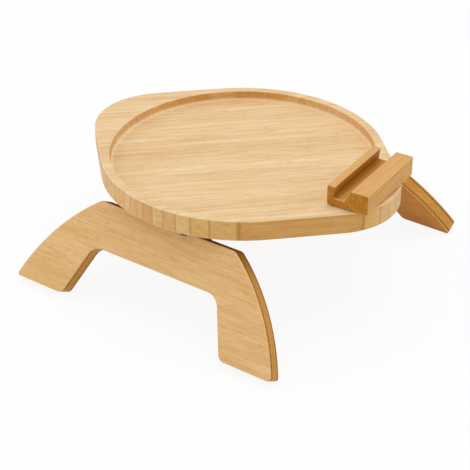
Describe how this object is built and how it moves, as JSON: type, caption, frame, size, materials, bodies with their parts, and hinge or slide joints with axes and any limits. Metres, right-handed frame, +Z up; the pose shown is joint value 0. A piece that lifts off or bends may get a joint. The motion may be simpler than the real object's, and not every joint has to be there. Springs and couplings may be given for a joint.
{
  "type": "sofa arm tray",
  "caption": "Round-dished bamboo tray with two eared corners on splayed, spring-hinged arched leg panels that straddle a sofa arm, with a turning slotted phone holder on one ear.",
  "frame": {"origin": "on the floor, below the centre of the dish and of the bounding box", "axes": "+Z up; X through the two ears, with the phone holder at +X; the leg panels stand at -Y (front) and +Y (rear)"},
  "size_m": [0.3384, 0.344, 0.1428],
  "materials": {
    "board_bamboo": "satin lacquered bamboo, strips side by side",
    "panel_bamboo": "satin lacquered bamboo, fine straight grain",
    "holder_bamboo": "satin lacquered bamboo",
    "hinge_steel": "pressed steel, satin nickel",
    "spring_steel": "drawn spring wire",
    "zinc_steel": "zinc plated",
    "brass": "turned",
    "nylon": "natural nylon",
    "rubber": "matt black"
  },
  "bodies": {
    "tray": {"tray_board": "board_bamboo", "holder_bush": "nylon", "holder_slide_washer": "nylon", "holder_cup_washer": "spring_steel", "front_left_board_leaf": "hinge_steel", "front_right_board_leaf": "hinge_steel", "rear_left_board_leaf": "hinge_steel", "rear_right_board_leaf": "hinge_steel", "front_left_hinge_pin": "hinge_steel", "front_right_hinge_pin": "hinge_steel", "rear_left_hinge_pin": "hinge_steel", "rear_right_hinge_pin": "hinge_steel", "front_left_spring": "spring_steel", "front_right_spring": "spring_steel", "rear_left_spring": "spring_steel", "rear_right_spring": "spring_steel", "board_leaf_screws": "zinc_steel", "front_left_bumper": "rubber", "front_right_bumper": "rubber", "rear_left_bumper": "rubber", "rear_right_bumper": "rubber"},
    "front_leg": {"front_leg_panel": "panel_bamboo", "front_left_panel_leaf": "hinge_steel", "front_right_panel_leaf": "hinge_steel", "front_panel_screws": "zinc_steel", "front_grip_pad": "rubber"},
    "rear_leg": {"rear_leg_panel": "panel_bamboo", "rear_left_panel_leaf": "hinge_steel", "rear_right_panel_leaf": "hinge_steel", "rear_panel_screws": "zinc_steel", "rear_grip_pad": "rubber"},
    "holder": {"phone_holder": "holder_bamboo", "holder_insert": "brass", "holder_bolt": "zinc_steel", "holder_head_washer": "zinc_steel"}
  },
  "joints": [
    {"name": "front_leg_fold", "type": "hinge", "parent": "tray", "child": "front_leg", "pos_m": [0, -0.0993, 0.09722], "axis": [1, 0, 0], "range_deg": [0, 90], "stiffness_Nm_per_rad": 0.04, "springref_deg": 120.32, "deforming": ["front_left_spring", "front_right_spring"]},
    {"name": "rear_leg_fold", "type": "hinge", "parent": "tray", "child": "rear_leg", "pos_m": [0, 0.0993, 0.09722], "axis": [-1, 0, 0], "range_deg": [0, 90], "stiffness_Nm_per_rad": 0.04, "springref_deg": 120.32, "deforming": ["rear_left_spring", "rear_right_spring"]},
    {"name": "holder_turn", "type": "hinge", "parent": "tray", "child": "holder", "pos_m": [0.1442, 0, 0.12292], "axis": [0, 0, 1], "continuous": true}
  ]
}
